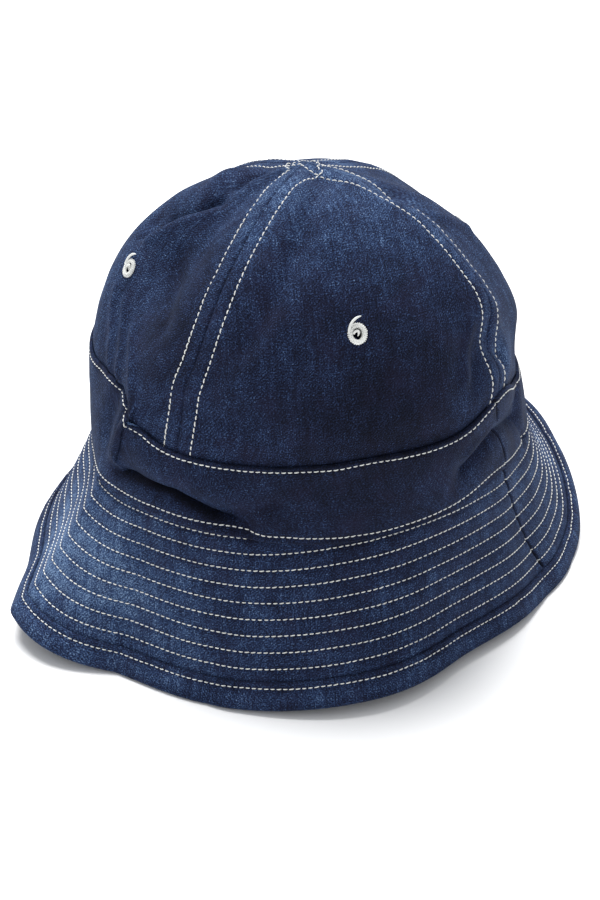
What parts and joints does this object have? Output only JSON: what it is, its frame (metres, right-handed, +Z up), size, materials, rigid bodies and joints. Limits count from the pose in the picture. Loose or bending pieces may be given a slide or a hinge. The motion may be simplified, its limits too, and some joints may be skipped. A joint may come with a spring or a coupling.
{
  "type": "denim field hat",
  "caption": "Soft denim field hat with a round gored crown, turned band, worked eyelets and a row-stitched brim with a bound edge, lying brim down.",
  "frame": {"origin": "on the surface that the hat lies on, under the middle of its bounding box", "axes": "+Z up through the crown, -Y out of the hat's front, +X to the right seen from the front"},
  "size_m": [0.2862, 0.2528, 0.1982],
  "materials": {
    "denim_crown": "washed indigo twill, matt, with pale slubs",
    "denim_band": "washed indigo twill, matt",
    "denim_brim": "washed indigo twill, puckered along its rows of stitching",
    "denim_binding": "washed indigo twill, folded over the edge",
    "cream_thread": "cream cotton thread, worked over the cloth's edge"
  },
  "bodies": {
    "root": {"crown_front": "denim_crown", "crown_right": "denim_crown", "crown_back": "denim_crown", "crown_left": "denim_crown", "band_front": "denim_band", "band_back": "denim_band", "brim_front": "denim_brim", "brim_back": "denim_brim", "brim_binding": "denim_binding", "eyelet_front": "cream_thread", "eyelet_right": "cream_thread", "eyelet_back": "cream_thread", "eyelet_left": "cream_thread"}
  },
  "joints": []
}
